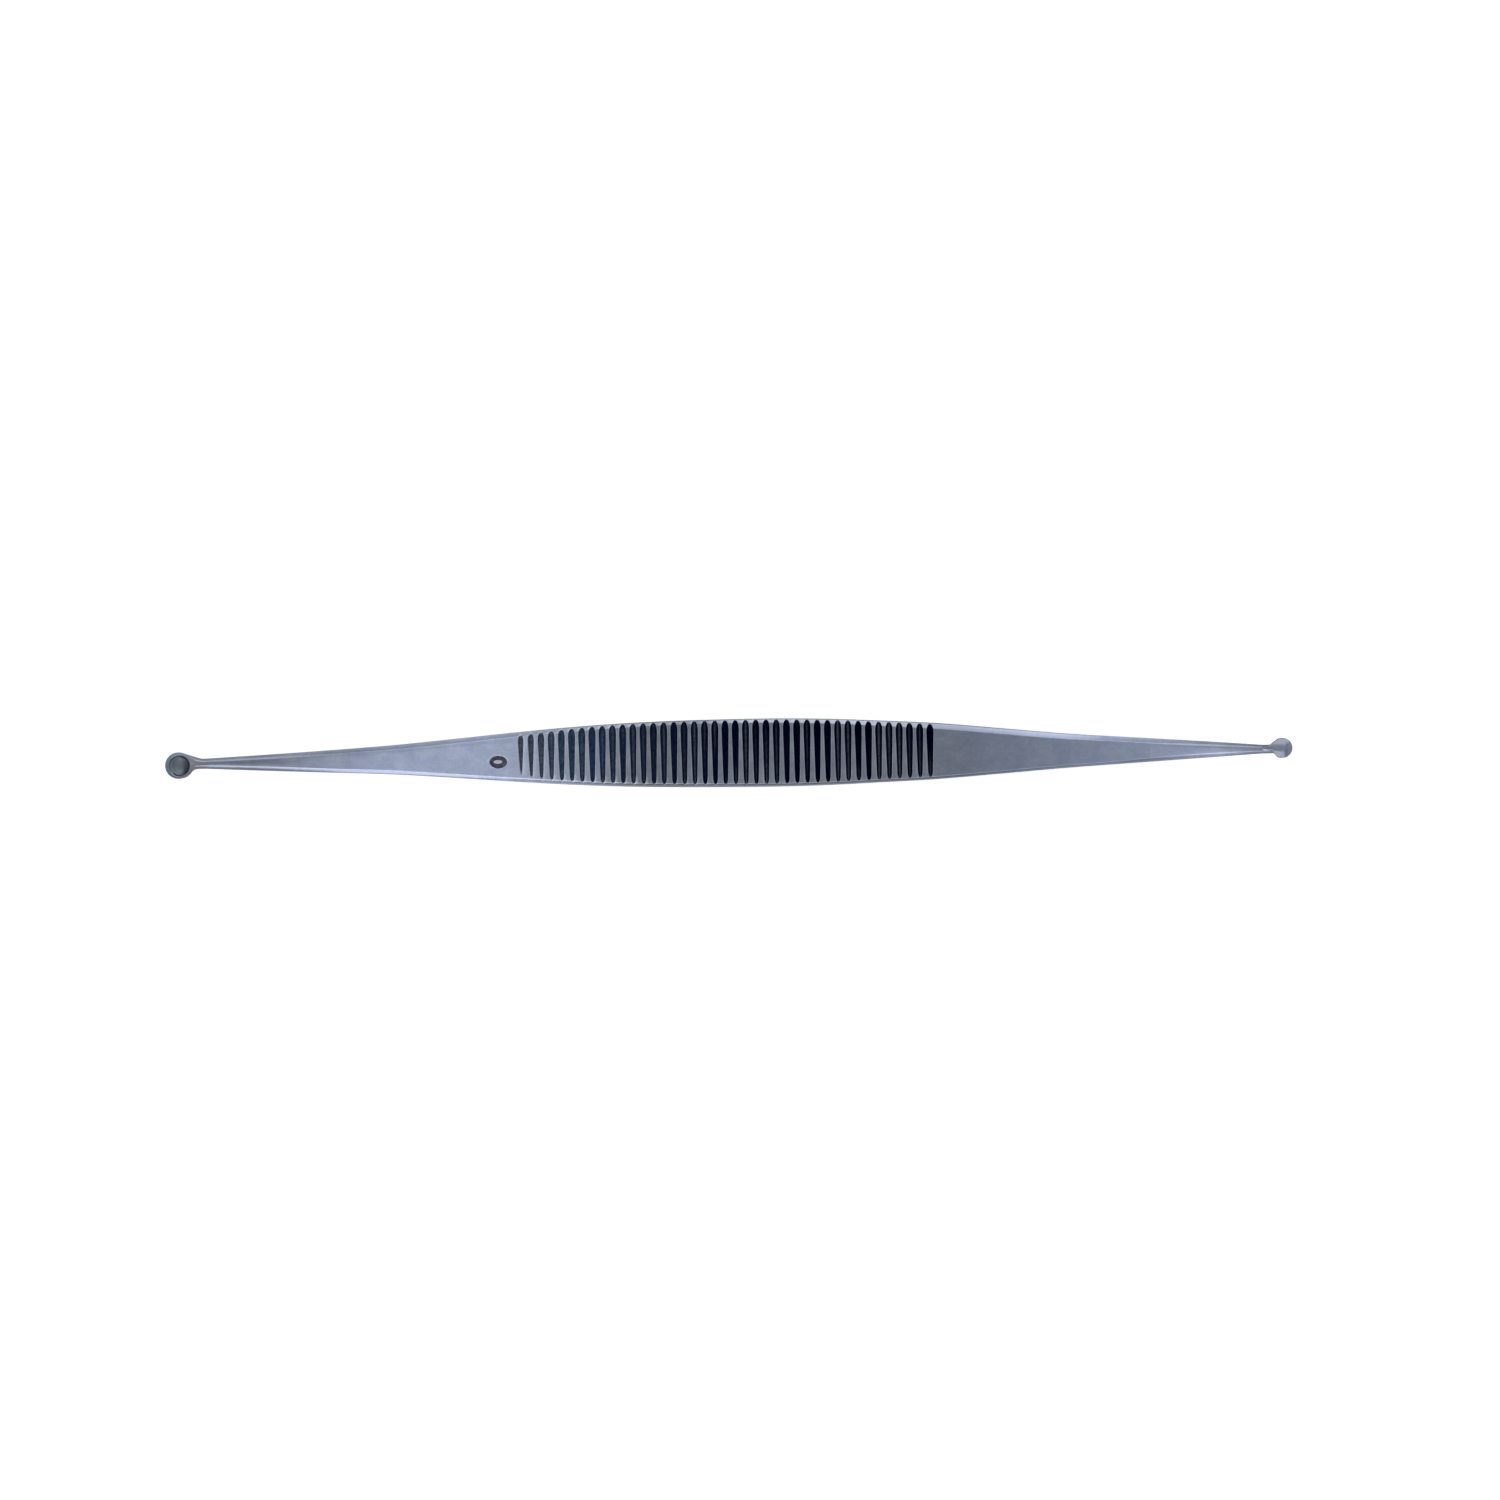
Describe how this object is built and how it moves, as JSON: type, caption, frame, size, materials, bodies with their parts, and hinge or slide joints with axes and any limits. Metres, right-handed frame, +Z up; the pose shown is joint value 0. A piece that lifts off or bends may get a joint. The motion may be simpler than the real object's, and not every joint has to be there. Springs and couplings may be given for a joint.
{
  "type": "clay modeling tool",
  "caption": "Slim double-ended steel clay tool: flat grip with milled cross ribs, two tapering shanks and a small round cup at each end, one facing up and one down.",
  "frame": {"origin": "on the resting plane under the middle of the overall length and width", "axes": "+X along the tool from the large cup to the small cup, +Y across the grip, +Z up out of the face the large cup opens to"},
  "size_m": [0.14, 0.0084, 0.0032],
  "materials": {
    "ribbed_steel": "satin stainless steel, dark in the grooves",
    "satin_steel": "satin blue-grey stainless steel",
    "cup_steel": "satin stainless steel, slightly darker and bluer"
  },
  "bodies": {
    "root": {"ribbed_grip": "ribbed_steel", "large_shank": "satin_steel", "small_shank": "satin_steel", "large_cup": "cup_steel", "small_cup": "cup_steel"}
  },
  "joints": []
}
